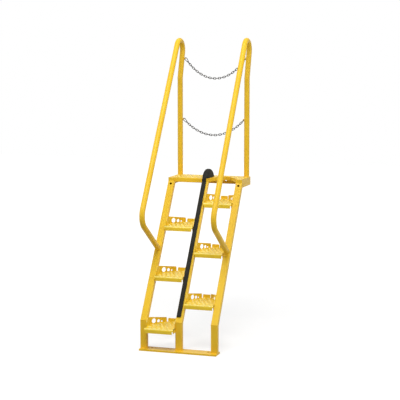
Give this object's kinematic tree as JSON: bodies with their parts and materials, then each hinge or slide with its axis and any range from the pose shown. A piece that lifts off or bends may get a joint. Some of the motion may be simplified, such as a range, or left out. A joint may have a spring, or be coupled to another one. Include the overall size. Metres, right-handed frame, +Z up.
{
  "type": "alternating tread stair",
  "caption": "Steep steel stair with half-width treads that alternate left and right on box stringers, a top landing, pipe handrails and guard chains",
  "frame": {"origin": "on the underside of the base plate, on the middle line, level with the front faces of the stringers' feet", "axes": "+X to the climber's right, +Y in the direction of the climb, +Z up"},
  "size_m": [0.6, 1.0265, 2.3112],
  "materials": {
    "yellow_steel": "semi-gloss yellow powder coat",
    "chain_steel": "dark plated steel",
    "black_rubber": "matt black rubber"
  },
  "bodies": {
    "root": {"base_plate": "yellow_steel", "left_foot": "yellow_steel", "left_stringer": "yellow_steel", "left_stringer_cap": "yellow_steel", "center_foot": "yellow_steel", "center_stringer": "yellow_steel", "center_stringer_cap": "yellow_steel", "right_foot": "yellow_steel", "right_stringer": "yellow_steel", "right_stringer_cap": "yellow_steel", "left_lower_tread": "yellow_steel", "right_lower_tread": "yellow_steel", "left_middle_tread": "yellow_steel", "right_middle_tread": "yellow_steel", "left_upper_tread": "yellow_steel", "right_upper_tread": "yellow_steel", "top_landing": "yellow_steel", "landing_notch_lip": "yellow_steel", "landing_left_side_plate": "yellow_steel", "landing_right_side_plate": "yellow_steel", "landing_rear_flange": "yellow_steel", "left_handrail": "yellow_steel", "right_handrail": "yellow_steel", "left_rear_post": "yellow_steel", "right_rear_post": "yellow_steel", "upper_left_chain_eye": "yellow_steel", "upper_right_chain_eye": "yellow_steel", "lower_left_chain_eye": "yellow_steel", "lower_right_chain_eye": "yellow_steel", "upper_chain": "chain_steel", "lower_chain": "chain_steel", "upper_chain_hook": "chain_steel", "lower_chain_hook": "chain_steel", "center_pad": "black_rubber", "pad_cap": "black_rubber"}
  },
  "joints": []
}
